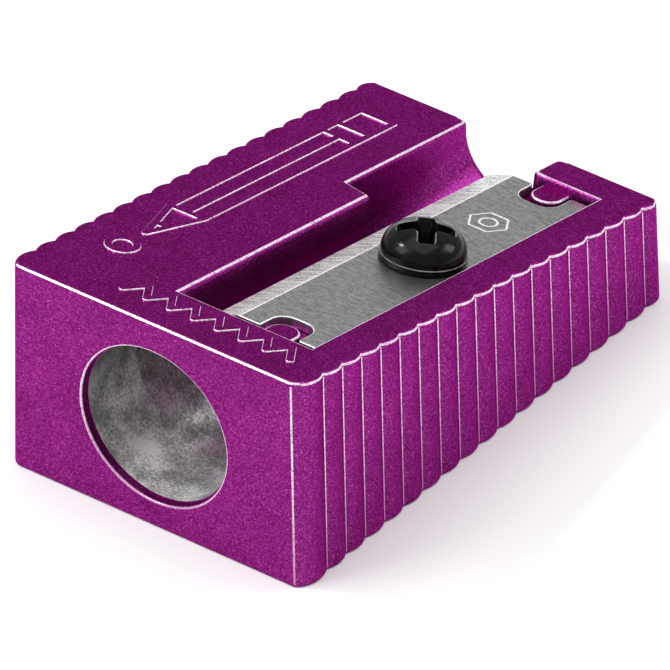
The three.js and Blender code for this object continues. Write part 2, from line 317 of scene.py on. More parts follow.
def edge_profile(bottom, top, low_radius, high_radius, steps=4):
    """(inset, height) pairs of a plate with rounded lower and upper edges."""
    profile = []
    for i in range(steps + 1):
        a = math.pi / 2 * i / steps
        profile.append((low_radius * (1 - math.sin(a)), bottom + low_radius * (1 - math.cos(a))))
    for i in range(steps + 1):
        a = math.pi / 2 * i / steps
        profile.append((high_radius * (1 - math.cos(a)), top - high_radius * (1 - math.sin(a))))
    return profile


def smooth(obj, angle=32, weighted=True):
    """Smooth shading with sharp edges over an angle, and normals that favour the large faces."""
    mesh = obj.data
    bm = bmesh.new()
    bm.from_mesh(mesh)
    limit = math.radians(angle)
    for face in bm.faces:
        face.smooth = True
    for edge in bm.edges:
        edge.smooth = len(edge.link_faces) == 2 and edge.calc_face_angle(0) < limit
    bm.to_mesh(mesh)
    bm.free()
    if weighted:
        modifier = obj.modifiers.new("weighted normals", "WEIGHTED_NORMAL")
        modifier.keep_sharp = True
        modifier.weight = 100


# ---------------------------------------------------------------- materials


def new_material(name):
    material = bpy.data.materials.new(name)
    material.use_nodes = True
    nodes = material.node_tree.nodes
    nodes.clear()
    output = nodes.new("ShaderNodeOutputMaterial")
    shader = nodes.new("ShaderNodeBsdfPrincipled")
    material.node_tree.links.new(shader.outputs["BSDF"], output.inputs["Surface"])
    return material, material.node_tree, shader


def add_node(tree, kind, inputs=None, **settings):
    node = tree.nodes.new(kind)
    for key, value in settings.items():
        setattr(node, key, value)
    for key, value in (inputs or {}).items():
        if isinstance(value, bpy.types.NodeSocket):
            tree.links.new(value, node.inputs[key])
        else:
            node.inputs[key].default_value = value
    return node


def object_coordinates(tree, scale=(1, 1, 1)):
    """Object coordinates in millimetres, stretched by scale."""
    source = add_node(tree, "ShaderNodeTexCoord")
    return add_node(
        tree, "ShaderNodeMapping",
        {"Vector": source.outputs["Object"], "Scale": [value / MM for value in scale]},
    ).outputs["Vector"]


def ramp(tree, factor, stops):
    node = add_node(tree, "ShaderNodeValToRGB", {"Fac": factor})
    elements = node.color_ramp.elements
    while len(elements) < len(stops):
        elements.new(0.5)
    for element, (position, color) in zip(elements, stops):
        element.position = position
        element.color = color if len(color) == 4 else (*color, 1)
    return node.outputs["Color"]


def grey(value):
    return (value, value, value, 1)


def mix_colors(tree, factor, first, second, blend="MIX"):
    """Mixes two colours, each a socket or a fixed colour."""
    node = add_node(tree, "ShaderNodeMix", data_type="RGBA", blend_type=blend)
    for index, value in ((0, factor), (6, first), (7, second)):
        if isinstance(value, bpy.types.NodeSocket):
            tree.links.new(value, node.inputs[index])
        else:
            node.inputs[index].default_value = value
    return node.outputs[2]


def lacquer_grain(tree, where):
    """Fine flakes and grain, as one grey value round 0.5."""
    flakes = add_node(tree, "ShaderNodeTexVoronoi", {"Vector": where, "Scale": 17.0})
    flake = add_node(tree, "ShaderNodeSeparateColor", {"Color": flakes.outputs["Color"]})
    grain = add_node(
        tree, "ShaderNodeTexNoise",
        {"Vector": where, "Scale": 10.0, "Detail": 3.0, "Roughness": 0.6},
    )
    return mix_colors(tree, 0.35, grain.outputs["Fac"], flake.outputs["Red"]), flakes, grain


def lacquer_material():
    """Purple metallic lacquer over a cast surface: fine flakes under a glossy clear coat."""
    material, tree, shader = new_material("purple_lacquer")
    where = object_coordinates(tree)
    speckle, flakes, grain = lacquer_grain(tree, where)
    cloud = add_node(tree, "ShaderNodeTexNoise", {"Vector": where, "Scale": 0.4, "Detail": 3.0})
    base = ramp(tree, speckle, [
        (0.3, (0.155, 0.006, 0.112)),
        (0.5, (0.25, 0.016, 0.188)),
        (0.68, (0.4, 0.045, 0.32)),
        (0.8, (0.62, 0.16, 0.5)),
    ])
    tone = ramp(tree, cloud.outputs["Fac"], [(0.35, grey(0.86)), (0.65, grey(1.0))])
    tree.links.new(mix_colors(tree, 1.0, base, tone, "MULTIPLY"), shader.inputs["Base Color"])
    shader.inputs["Metallic"].default_value = 1.0
    rough = ramp(tree, grain.outputs["Fac"], [(0.3, grey(0.36)), (0.7, grey(0.48))])
    tree.links.new(rough, shader.inputs["Roughness"])
    shader.inputs["Specular Tint"].default_value = (0.8, 0.2, 0.68, 1)
    shader.inputs["Coat Weight"].default_value = 0.05
    shader.inputs["Coat Roughness"].default_value = 0.15
    bump = add_node(
        tree, "ShaderNodeBump",
        {"Height": flakes.outputs["Distance"], "Strength": 0.3, "Distance": 0.00001},
    )
    tree.links.new(bump.outputs["Normal"], shader.inputs["Normal"])
    return material


def edge_highlight_material():
    """Painted highlight along the edges: a pale, glossy lacquer that stands in for the light the
    fillets catch, painted brighter towards the roof.
    """
    material, tree, shader = new_material("painted_edge_highlight")
    where = object_coordinates(tree)
    speckle, _, grain = lacquer_grain(tree, where)
    height = add_node(tree, "ShaderNodeSeparateXYZ", {"Vector": where})
    # Painted light: the edge highlight is painted paler the higher it stands.
    rise = add_node(
        tree, "ShaderNodeMapRange",
        {"Value": height.outputs["Z"], "From Min": 0.0, "From Max": 7.0, "To Min": 0.15, "To Max": 1.0},
    )
    # The pale colour is the painted highlight.
    pale_highlight = ramp(tree, speckle, [(0.34, (0.62, 0.2, 0.52)), (0.5, (0.95, 0.86, 0.94))])
    color = mix_colors(tree, rise.outputs["Result"], (0.5, 0.08, 0.38, 1), pale_highlight)
    tree.links.new(color, shader.inputs["Base Color"])
    shader.inputs["Metallic"].default_value = 0.35
    rough = ramp(tree, grain.outputs["Fac"], [(0.3, grey(0.25)), (0.7, grey(0.4))])
    tree.links.new(rough, shader.inputs["Roughness"])
    shader.inputs["Coat Weight"].default_value = 0.5
    return material


def bare_metal(tree, where):
    """The colour of mottled bare metal, with painted shade darkening it towards the top and painted
    light brightening it low down, and the mottling itself.
    """
    broad = add_node(tree, "ShaderNodeTexNoise", {"Vector": where, "Scale": 0.7, "Detail": 3.0})
    fine = add_node(
        tree, "ShaderNodeTexNoise",
        {"Vector": where, "Scale": 7.0, "Detail": 5.0, "Roughness": 0.75},
    )
    mottle = mix_colors(tree, 0.55, broad.outputs["Fac"], fine.outputs["Fac"])
    metal = ramp(tree, mottle, [(0.4, grey(0.22)), (0.5, grey(0.55)), (0.58, grey(0.95))])
    # Painted shade: darker towards the top, where the bore faces down, and painted light low down.
    reach = add_node(
        tree, "ShaderNodeVectorMath", {0: where, 1: (0.35, 0.0, 1.0)}, operation="DOT_PRODUCT"
    )
    painted_light_level = add_node(
        tree, "ShaderNodeMapRange",
        {"Value": reach.outputs["Value"], "From Min": AXIS_Z - 3.4, "From Max": AXIS_Z + 2.4,
         "To Min": 1.0, "To Max": 0.0},
    )
    painted_shade = ramp(tree, painted_light_level.outputs["Result"], [
        (0.0, grey(0.12)), (0.3, grey(0.25)), (0.6, grey(0.5)), (1.0, grey(1.1)),
    ])
    return mix_colors(tree, 1.0, metal, painted_shade, "MULTIPLY"), mottle


def bore_material():
    """Bare machined metal in the bore, with painted shade towards the top."""
    material, tree, shader = new_material("bare_bore")
    where = object_coordinates(tree)
    color, mottle = bare_metal(tree, where)
    tree.links.new(color, shader.inputs["Base Color"])
    rough = ramp(tree, mottle, [(0.4, grey(0.55)), (0.6, grey(0.36))])
    tree.links.new(rough, shader.inputs["Roughness"])
    shader.inputs["Metallic"].default_value = 0.5
    shader.inputs["Specular Tint"].default_value = (0.8, 0.8, 0.8, 1)
    fine = add_node(tree, "ShaderNodeTexNoise", {"Vector": where, "Scale": 8.0, "Detail": 3.0})
    bump = add_node(
        tree, "ShaderNodeBump",
        {"Height": fine.outputs["Fac"], "Strength": 0.5, "Distance": 0.00003},
    )
    tree.links.new(bump.outputs["Normal"], shader.inputs["Normal"])
    return material


def cone_material():
    """The cone: bare metal low down; higher up and further back a dark purple that stands for lacquer
    from the chip slot and for painted shade in the cavity.
    """
    material, tree, shader = new_material("cone_lacquer_and_painted_shade")
    where = object_coordinates(tree)
    bare, mottle = bare_metal(tree, where)
    reach = add_node(
        tree, "ShaderNodeVectorMath", {0: where, 1: (0.0, 0.9, 1.0)}, operation="DOT_PRODUCT"
    )
    rise = add_node(
        tree, "ShaderNodeMapRange",
        {"Value": reach.outputs["Value"], "From Min": -2.2, "From Max": -0.6},
    )
    # Dark purple: lacquer together with painted shade in the cavity.
    lacquer_and_shade = ramp(tree, mottle, [(0.35, (0.27, 0.003, 0.17)), (0.65, (0.42, 0.012, 0.3))])
    tree.links.new(mix_colors(tree, rise.outputs["Result"], bare, lacquer_and_shade), shader.inputs["Base Color"])
    rough = ramp(tree, mottle, [(0.4, grey(0.5)), (0.6, grey(0.38))])
    tree.links.new(rough, shader.inputs["Roughness"])
    shader.inputs["Metallic"].default_value = 0.85
    return material


def blade_material(name, low, high, roughness, stretch, turn=0.0, strength=0.1, metallic=1.0):
    """Ground steel whose grinding marks run across stretch, turned by an angle on the roof."""
    material, tree, shader = new_material(name)
    source = add_node(tree, "ShaderNodeTexCoord")
    flat = add_node(
        tree, "ShaderNodeMapping",
        {"Vector": source.outputs["Object"], "Rotation": (TAPER, 0, 0),
         "Scale": (1 / MM, 1 / MM, 1 / MM)},
    )
    lined = add_node(
        tree, "ShaderNodeMapping",
        {"Vector": flat.outputs["Vector"], "Rotation": (0, 0, turn), "Scale": stretch},
    )
    lines = add_node(
        tree, "ShaderNodeTexNoise",
        {"Vector": lined.outputs["Vector"], "Scale": 1.0, "Detail": 6.0, "Roughness": 0.6},
    )
    grain = add_node(
        tree, "ShaderNodeTexNoise", {"Vector": flat.outputs["Vector"], "Scale": 11.0, "Detail": 3.0}
    )
    mark = mix_colors(tree, 0.45, lines.outputs["Fac"], grain.outputs["Fac"])
    color = ramp(tree, mark, [(0.4, grey(low)), (0.6, grey(high))])
    tree.links.new(color, shader.inputs["Base Color"])
    rough = ramp(tree, mark, [(0.38, grey(roughness * 1.2)), (0.62, grey(roughness * 0.8))])
    tree.links.new(rough, shader.inputs["Roughness"])
    shader.inputs["Metallic"].default_value = metallic
    bump = add_node(
        tree, "ShaderNodeBump",
        {"Height": lines.outputs["Fac"], "Strength": strength, "Distance": 0.00002},
    )
    tree.links.new(bump.outputs["Normal"], shader.inputs["Normal"])
    return material


def screw_material(name, low, high, specular):
    """Glossy black oxide with faint wear; with paler settings it paints a highlight on edges, and with
    near-black settings the shade in the recess.
    """
    material, tree, shader = new_material(name)
    where = object_coordinates(tree)
    wear = add_node(tree, "ShaderNodeTexNoise", {"Vector": where, "Scale": 3.0, "Detail": 5.0})
    fine = add_node(tree, "ShaderNodeTexNoise", {"Vector": where, "Scale": 16.0, "Detail": 3.0})
    color = ramp(tree, wear.outputs["Fac"], [(0.35, grey(low)), (0.7, grey(high))])
    tree.links.new(color, shader.inputs["Base Color"])
    rough = ramp(tree, wear.outputs["Fac"], [(0.35, grey(0.13)), (0.7, grey(0.26))])
    tree.links.new(rough, shader.inputs["Roughness"])
    shader.inputs["Specular IOR Level"].default_value = specular
    bump = add_node(
        tree, "ShaderNodeBump",
        {"Height": fine.outputs["Fac"], "Strength": 0.25, "Distance": 0.00001},
    )
    tree.links.new(bump.outputs["Normal"], shader.inputs["Normal"])
    return material


# ---------------------------------------------------------------- body


def corner_lobe(span):
    """The radius and valley angle of a corner lobe that meets the end face in a faint crease."""
    radius = 1.27
    for _ in range(40):
        reach = radius * math.cos(CORNER_CREASE) + math.sqrt(2 * RIB_HEIGHT * radius - RIB_HEIGHT ** 2)
        radius *= span / reach
    return radius, math.acos(1 - RIB_HEIGHT / radius)


def side_arcs():
    """The convex arcs of the right side from front to back: (centre, radius, start, end)."""
    crest = HALF_WIDTH + RIB_HEIGHT
    ribs = math.floor((LENGTH - FRONT_LOBE - BACK_LOBE_MIN) / RIB_PITCH)
    first = FRONT_Y + FRONT_LOBE
    last = first + ribs * RIB_PITCH
    radius, end = corner_lobe(FRONT_LOBE)
    centre = (crest - radius, FRONT_Y + radius * math.cos(CORNER_CREASE))
    arcs = [(centre, radius, CORNER_CREASE - math.pi / 2, end)]
    rib_radius = (RIB_HEIGHT ** 2 + (RIB_PITCH / 2) ** 2) / (2 * RIB_HEIGHT)
    half = math.asin(RIB_PITCH / 2 / rib_radius)
    for i in range(ribs):
        middle = first + (i + 0.5) * RIB_PITCH
        arcs.append(((crest - rib_radius, middle), rib_radius, -half, half))
    radius, end = corner_lobe(BACK_Y - last)
    centre = (crest - radius, BACK_Y - radius * math.cos(CORNER_CREASE))
    arcs.append((centre, radius, -end, math.pi / 2 - CORNER_CREASE))
    return arcs


def eased_corner(start, corner, end, start_angle, end_angle, steps=4, line=(0, 4)):
    """A small curve through a corner without its last point, with a painted highlight along the steps
    in line.
    """
    rows = []
    for i in range(steps):
        t = i / steps
        p = (1 - t) ** 2 * start + 2 * t * (1 - t) * corner + t * t * end
        finish = EDGE_HIGHLIGHT if line[0] <= i < line[1] else LACQUER
        rows.append((*p, start_angle + (end_angle - start_angle) * t, finish))
    return rows


def body_outline():
    """The ribbed outline at the base, anticlockwise: (x, y, normal angle, finish after it)."""
    arcs = side_arcs()

    def on_arc(arc, angle):
        return np.array([arc[0][0] + arc[1] * math.cos(angle), arc[0][1] + arc[1] * math.sin(angle)])

    side = []
    face_angle = -math.pi / 2
    corner = on_arc(arcs[0], arcs[0][2])
    start = corner - np.array([CREASE_TRIM, 0])
    for k, arc in enumerate(arcs):
        trim, steps, line = (VALLEY_TRIM, 4, (0, 4)) if k else (CREASE_TRIM, 8, (3, 5))
        a0, a1 = arc[2] + trim / arc[1], arc[3] - VALLEY_TRIM / arc[1]
        side += eased_corner(start, corner, on_arc(arc, a0), face_angle, a0, steps, line)
        steps = 12 if 0 < k < len(arcs) - 1 else 20
        for i in range(steps):
            a = a0 + (a1 - a0) * i / steps
            side.append((*on_arc(arc, a), a, LACQUER))
        start, corner, face_angle = on_arc(arc, a1), on_arc(arc, arc[3]), a1
    end = corner - np.array([VALLEY_TRIM, 0])
    side += eased_corner(start, corner, end, face_angle, math.pi / 2)
    side.append((*end, math.pi / 2, LACQUER))
    left = []
    for j in range(len(side) - 1, -1, -1):
        x, y, a, _ = side[j]
        left.append((-x, y, math.pi - a, side[j - 1][3] if j and y > FRONT_Y + 0.7 else LACQUER))
    return side + left


def drafted(x, y, z):
    return np.array([x * (1 - SIDE_DRAFT * z / HALF_WIDTH), y * (1 - END_DRAFT * z / (LENGTH / 2)), z])


def body_block():
    """The ribbed block with rounded edges, before anything is cut from it."""
    columns, walls = [], []
    slope = math.tan(TAPER)
    for x, y, a, wall in body_outline():
        nx, ny = math.cos(a), math.sin(a)
        up = np.array([-SIDE_DRAFT * x / HALF_WIDTH, -END_DRAFT * y / (LENGTH / 2), 1.0])
        foot = np.array([x, y, 0.0])
        lean = slope * y * END_DRAFT / (LENGTH / 2)
        top = drafted(x, y, roof_z(y) / (1 - lean))
        column = corner_arc(foot, (-nx, -ny, 0), up, BOTTOM_EDGE, 4)
        column += corner_arc(top, -up, (-nx, -ny, slope * ny), TOP_EDGE, ARC)
        columns.append(column)
        walls.append(wall)

    # The crease lines and the top edges take the fourth body finish, a painted highlight.
    def finish(band, side):
        if band < 4:
            return LACQUER
        if band == 4:
            return walls[side]
        if columns[side][-1][0] < -HALF_WIDTH + 0.6:
            return LACQUER
        at_end = abs(columns[side][-1][1]) > LENGTH / 2 - 0.7
        return EDGE_HIGHLIGHT if band in ((7, 8) if at_end else (6, 7)) else LACQUER

    return loft("body", [list(ring) for ring in zip(*columns)], finish)


def cone_place(x, z, y):
    return np.array([x, y, AXIS_Z + z])


def mouth_cutter():
    """The painted mouth, leaning with the front face, with a rounded rim."""
    outer = MOUTH_RADIUS + MOUTH_EDGE + 0.02
    profile = [(0, -1.0), (outer, -1.0), (outer, -0.004)]
    for i in range(1, ARC + 1):
        a = math.pi / 2 * i / ARC
        profile.append((MOUTH_RADIUS + MOUTH_EDGE * (1 - math.sin(a)), MOUTH_EDGE * (1 - math.cos(a))))
    profile += [(MOUTH_RADIUS, MOUTH_DEPTH), (0, MOUTH_DEPTH)]

    def place(x, z, depth):
        height = AXIS_Z + z
        return np.array([x, FRONT_Y + END_DRAFT * height + depth, height])

    # The rounded rim takes the painted edge highlight.
    return turned("mouth", profile, 128, place, lambda band: EDGE_HIGHLIGHT if band < 2 + ARC else LACQUER)


def bore_cutter():
    end_y = FRONT_Y + CHANNEL_START_S + 1.6
    end_radius = BORE_RADIUS - (end_y - CONE_START_Y) * math.tan(TAPER)
    profile = [(0, FRONT_Y + 0.3), (BORE_RADIUS, FRONT_Y + 0.3), (BORE_RADIUS, CONE_START_Y),
               (end_radius, end_y), (0, end_y)]
    return turned("bore", profile, 128, cone_place, lambda band: CONE if band > 1 else BORE)


def opening_outline():
    """The outline of the seat, slot and channel on the roof: (x, s, edge radius after it)."""
    slanted = CHANNEL_START_S - math.tan(CHANNEL_SKEW) * SLAB_EDGE_X
    corner_s = CHANNEL_START_S + math.tan(CHANNEL_SKEW) * CHANNEL_RADIUS
    back_s = (LENGTH - END_DRAFT * roof_z(BACK_Y)) / math.cos(TAPER)
    points = [
        (SLAB_EDGE_X, SEAT_FROM_FRONT, 0.09),
        (SEAT_RIGHT_X, SEAT_FROM_FRONT, 0.09),
        (SEAT_RIGHT_X, SEAT_BACK_S, 0.14),
    ]
    for i in range(9):
        a = math.pi / 2 * i / 8
        x = CHANNEL_RADIUS + POST_EDGE * (1 - math.sin(a))
        points.append((x, SEAT_BACK_S + POST_EDGE * (1 - math.cos(a)), 0.2))
    rear = []
    for i in range(9):
        a = math.pi / 2 * i / 8
        rear.append((CHANNEL_RADIUS + CHANNEL_BACK_EDGE * (1 - math.cos(a)),
                     back_s + CHANNEL_BACK_EDGE * (math.sin(a) - 1)))
    wide = CHANNEL_RADIUS + CHANNEL_BACK_EDGE
    points += [(x, s, 0.2) for x, s in rear] + [(wide, back_s + 1.0, 0.2)]
    points += [(-wide, back_s + 1.0, 0.2)] + [(-x, s, 0.2) for x, s in reversed(rear)]
    points += [
        (-CHANNEL_RADIUS, corner_s, 0.09),
        (SLAB_EDGE_X, slanted, 0.24),
    ]
    return points


def flare(radius, depth):
    """How far a rounded top edge stands back from its wall at a depth below the roof."""
    if depth >= radius:
        return 0.0
    if depth < 0:
        return radius + 0.02
    return radius - math.sqrt(radius ** 2 - (radius - depth) ** 2)


def grown(points, depth):
    """The opening's outline at a depth below the roof, each edge flared by its own radius."""
    count = len(points)
    out = []
    for i in range(count):
        here = np.array(points[i][:2])
        before = here - np.array(points[i - 1][:2])
        after = np.array(points[(i + 1) % count][:2]) - here
        n0 = np.array([before[1], -before[0]]) / np.linalg.norm(before)
        n1 = np.array([after[1], -after[0]]) / np.linalg.norm(after)
        shifts = [flare(points[i - 1][2], depth), flare(points[i][2], depth)]
        if float(n0 @ n1) > 0.999:
            out.append(here + n0 * shifts[1])
        else:
            out.append(here + np.linalg.solve(np.array([n0, n1]), shifts))
    return out


def lug(end_s, inward, reach, base, top):
    """The half-round locating lug at one end of the seat."""
    low, high = sorted((end_s - inward * 0.6, end_s + inward * reach))
    corners = [(SCREW_X - LUG_RADIUS, low), (SCREW_X + LUG_RADIUS, low),
               (SCREW_X + LUG_RADIUS, high), (SCREW_X - LUG_RADIUS, high)]
    round_at = (2, 3) if inward > 0 else (0, 1)
    outline = rounded(
        [(x, s, LUG_RADIUS * 0.97 if i in round_at else 0) for i, (x, s) in enumerate(corners)], 10
    )
    profile = edge_profile(base, top, 0.0001, 0.09)
    # The lug's rounded top edge takes the painted edge highlight.
    return on_roof_prism("lug", outline, profile, lambda band, side: EDGE_HIGHLIGHT if band > 4 else LACQUER)


def opening_cutter():
    """The seat and the mouth of the slot and channel, with its lugs left standing."""
    points = opening_outline()
    depths = [-1.5, -0.003] + [0.24 * (1 - math.cos(math.pi / 2 * i / 10)) for i in range(1, 11)]
    depths += [-SEAT_FLOOR]

    def wall_point(x, s, depth):
        """Square to the roof, but upright round the channel's back corners."""
        upright = depth * math.tan(TAPER) if s > SEAT_BACK_S + 1 else 0.0
        return roof(x, s + upright, -depth)

    rings = [[wall_point(x, s, depth) for x, s in grown(points, depth)] for depth in depths]

    # The flared top edges take the painted edge highlight.
    def finish(band, side):
        return EDGE_HIGHLIGHT if band < 11 and depths[band + 1] <= points[side][2] * 0.18 + 0.02 else LACQUER

    cutter = loft("opening", rings, finish)
    front_reach = BLADE_FRONT_S - SEAT_FROM_FRONT + NOTCH_DEPTH - LUG_END_GAP
    back_reach = SEAT_BACK_S - BLADE_BACK_S + NOTCH_DEPTH - LUG_END_GAP
    for end_s, inward, reach in ((SEAT_FROM_FRONT, 1, front_reach), (SEAT_BACK_S, -1, back_reach)):
        combine(cutter, lug(end_s, inward, reach, SEAT_FLOOR - 0.5, LUG_TOP))
    return cutter


def slot_cutter():
    """The chip slot below the seat, down into the cone."""
    right = CUTTING_EDGE_X + 0.1
    corners = [(SLAB_EDGE_X + 0.004, SEAT_FROM_FRONT + 0.004, 0), (right, SEAT_FROM_FRONT + 0.004, 0),
               (right, CHANNEL_START_S + 2, 0), (SLAB_EDGE_X + 0.004, CHANNEL_START_S + 2, 0)]
    outline = rounded(corners)
    return on_roof_prism("slot", outline, [(0, -CHIP_SLOT_DEPTH), (0, -0.6)])


def channel_cutter():
    """The U-shaped shavings channel below the seat's level, open at the back."""
    radius = CHANNEL_RADIUS - 0.004
    edge = CHANNEL_BACK_EDGE
    bottom = [-math.pi * i / 32 for i in range(33)]
    stations = [("front", 0.0)]
    stations += [("back", edge * (1 - math.sin(math.pi / 2 * i / ARC))) for i in range(ARC + 1)]
    stations += [("past", 0.0)]
    rings = []
    for kind, depth in stations:
        grown_by = {
            "front": 0.0, "past": edge,
            "back": edge - math.sqrt(max(edge ** 2 - (edge - depth) ** 2, 0.0)),
        }[kind]
        wide = radius + grown_by
        section = [(wide * math.cos(a), CHANNEL_Z + wide * math.sin(a)) for a in bottom]
        rim = roof_z(FRONT_Y + CHANNEL_START_S) - 0.5 if kind == "front" else roof_z(BACK_Y) + 1.0
        section = [(wide, rim)] + section + [(-wide, rim)]
        ring = []
        for x, height in section:
            if kind == "front":
                s = CHANNEL_START_S - math.tan(CHANNEL_SKEW) * x
                y = FRONT_Y + s * math.cos(TAPER)
                y -= (roof_z(y) - height) * math.sin(TAPER) * math.cos(TAPER)
            elif kind == "back":
                y = BACK_Y - END_DRAFT * height - depth
            else:
                y = BACK_Y + 1.0
            ring.append(np.array([x, y, height]))
        rings.append(ring)
    return loft("channel", rings)


def hole_cutter():
    """The threaded hole, its groove a helix that the screw's thread follows as it turns."""
    cutter = thread(SCREW_LENGTH + 0.5, THREAD_GAP)
    radius = SCREW_RADIUS + 0.2
    profile = [(0, SEAT_FLOOR - 0.15), (radius, SEAT_FLOOR + 0.02), (radius, 0), (0, 0)]
    relief = turned("relief", profile, 48, lambda x, s, h: roof(SCREW_X + x, SCREW_S + s, h))
    combine(cutter, relief, "UNION")
    return cutter


def raised_stroke(start, end):
    """A straight raised stroke on the roof with round ends and sloping sides."""
    start, end = np.array(start, float), np.array(end, float)
    along = (end - start) / np.linalg.norm(end - start)
    across = np.array([-along[1], along[0]])
    half = RELIEF_HALF_WIDTH
    corners = [start - along * half - across * half, end + along * half - across * half,
               end + along * half + across * half, start - along * half + across * half]
    outline = rounded([(*corner, half * 0.9) for corner in corners], 4)
    profile = [(0, -0.25), (0, 0.0), (0.035, 0.055)] + [
        (0.035 + 0.06 * (1 - math.cos(a)), 0.055 + (RELIEF_HEIGHT - 0.055) * math.sin(a))
        for a in (math.pi / 6, math.pi / 3, math.pi / 2)
    ]

    # The strokes' rounded upper sides take the painted edge highlight.
    def finish(band, side):
        return EDGE_HIGHLIGHT if band in (2, 3) else LACQUER

    return on_roof_prism("stroke", outline, profile, finish)


def ornament():
    """A pencil, a ring and a zigzag pencil stroke, raised on the roof."""
    middle, half = -5.75, 0.96
    left, right = middle - half, middle + half
    tip, shoulder, ferrule, end = 7.4, 10.6, 22.6, 25.7
    lead = 0.38
    strokes = [
        ((left, shoulder), (left, end)), ((right, shoulder), (right, end)),
        ((middle, tip), (left, shoulder)), ((middle, tip), (right, shoulder)),
        ((middle - lead * half, tip + lead * (shoulder - tip)),
         (middle + lead * half, tip + lead * (shoulder - tip))),
        ((left, shoulder), (right, shoulder)), ((middle, shoulder), (middle, ferrule)),
        ((left, ferrule), (right, ferrule)), ((left, ferrule + 1.2), (right, ferrule + 1.2)),
        ((left, end), (right, end)),
    ]
    first, last, steps = -3.0, 6.6, 14
    step = (last - first) / steps
    for i in range(steps):
        side = 0.55 if i % 2 else -0.55
        strokes.append(((first + i * step, 2.55 + side), (first + (i + 1) * step, 2.55 - side)))
    ring, reach = [], 0.92 - RELIEF_HALF_WIDTH
    for i in range(24):
        a = 2 * math.pi * i / 24
        ring.append((middle + reach * math.cos(a), 5.6 + reach * math.sin(a)))
    strokes += [(ring[i], ring[(i + 1) % 24]) for i in range(24)]
    return [raised_stroke(start, end_point) for start, end_point in strokes]


def make_body():
    FINISHES[:] = [lacquer_material(), bore_material(), cone_material(), edge_highlight_material()]
    body = body_block()
    for cutter in (mouth_cutter(), bore_cutter(), opening_cutter(), slot_cutter(),
                   channel_cutter(), hole_cutter()):
        combine(body, cutter)
    for piece in ornament():
        combine(body, piece, "UNION")
    smooth(body)
    body.name = "lacquered_body"
    return body


# ---------------------------------------------------------------- blade


def blade_outline():
    """The blade's outline on the roof, anticlockwise, with its two end notches."""
    left, right = CUTTING_EDGE_X, BLADE_RIGHT_X
    front, back = BLADE_FRONT_S, BLADE_BACK_S
    a, b = SCREW_X - NOTCH_RADIUS, SCREW_X + NOTCH_RADIUS
    inner = 0.82
    return rounded([
        (left, front, 0.02), (a, front, 0.12), (a, front + NOTCH_DEPTH, inner),
        (b, front + NOTCH_DEPTH, inner), (b, front, 0.12), (right, front, 0.2),
        (right, back, 0.2), (b, back, 0.12), (b, back - NOTCH_DEPTH, inner),
        (a, back - NOTCH_DEPTH, inner), (a, back, 0.12), (left, back, 0.02),
    ], 8)


def mark_ring(x, s, radius, sides, width, turn=0.0):
    """A shallow ring to sink into the blade: a hexagon outline or a circle."""
    profile = [(radius, BLADE_TOP - MARK_DEPTH), (radius, 0.2), (radius - width, 0.2),
               (radius - width, BLADE_TOP - MARK_DEPTH)]
    vertices, faces = [], []
    for i in range(sides):
        a = turn + 2 * math.pi * i / sides
        vertices += [roof(x + r * math.cos(a), s + r * math.sin(a), h) for r, h in profile]
        for k in range(4):
            j, after = (k + 1) % 4, (i + 1) % sides
            faces.append((i * 4 + k, after * 4 + k, after * 4 + j, i * 4 + j))
    return mesh_object("mark", vertices, faces, [POLISHED] * len(faces))


def wedge(drop_start, slope, name):
    """A block over a plane that falls towards the cutting edge from x = drop_start."""
    low, high = BLADE_FRONT_S - 1, BLADE_BACK_S + 1
    far = CUTTING_EDGE_X - 1.0
    rings = []
    for s in (low, high):
        rings.append([
            roof(drop_start, s, BLADE_TOP), roof(drop_start + 0.4, s, BLADE_TOP + 0.4 * slope),
            roof(drop_start + 0.4, s, 1.0), roof(far, s, 1.0),
            roof(far, s, BLADE_TOP - (drop_start - far) * slope),
        ])
    return loft(name, rings)


def make_blade():
    FINISHES[:] = [
        blade_material("blade_flat", 0.28, 0.56, 0.36, (1.8, 4.5, 1.0)),
        blade_material("blade_bevel", 0.22, 1.0, 0.34, (0.7, 8.0, 1.0), math.radians(30), 0.5, 0.45),
        blade_material("blade_edges", 0.8, 0.98, 0.3, (2.0, 2.0, 2.0), metallic=0.35),
    ]
    profile = edge_profile(BLADE_BOTTOM, BLADE_TOP, 0.03, 0.05, 3)
    blade = on_roof_prism("blade_plate", blade_outline(), profile)
    hole = turned("hole", [(0, -2), (SCREW_RADIUS + 0.15, -2), (SCREW_RADIUS + 0.15, 1), (0, 1)],
                  64, lambda x, s, h: roof(SCREW_X + x, SCREW_S + s, h))
    combine(blade, hole)
    slope = (BLADE_THICKNESS - 0.015) / BEVEL_WIDTH
    flat_edge = CUTTING_EDGE_X + BEVEL_WIDTH
    combine(blade, wedge(flat_edge, slope, "bevel"))
    combine(blade, wedge(flat_edge + 0.05, slope * 0.45, "bevel_edge"))
    for radius, sides in ((1.1, 6), (0.5, 32)):
        combine(blade, mark_ring(MARK_X, MARK_S, radius, sides, 0.13))
    up = roof(0, 0, 1) - roof(0, 0, 0)
    for face in blade.data.polygons:
        normal = np.array(face.normal)
        facing = float(normal @ up)
        height = float((np.array(face.center) / MM - roof(0, 0, BLADE_TOP)) @ up)
        if facing > 0.999 and -2 * MARK_DEPTH < height < -MARK_DEPTH / 2:
            face.material_index = POLISHED
        elif facing > 0.999 or facing < 0.2:
            face.material_index = FLAT
        elif abs(normal[0] + math.sin(math.atan(slope))) < 0.03:
            face.material_index = BEVEL
        else:
            face.material_index = POLISHED
    smooth(blade, 20)
    blade.name = "ground_blade"
    return blade


# ---------------------------------------------------------------- screw


def screw_place(x, s, h):
    return roof(SCREW_X + x, SCREW_S + s, HEAD_BOTTOM + h)


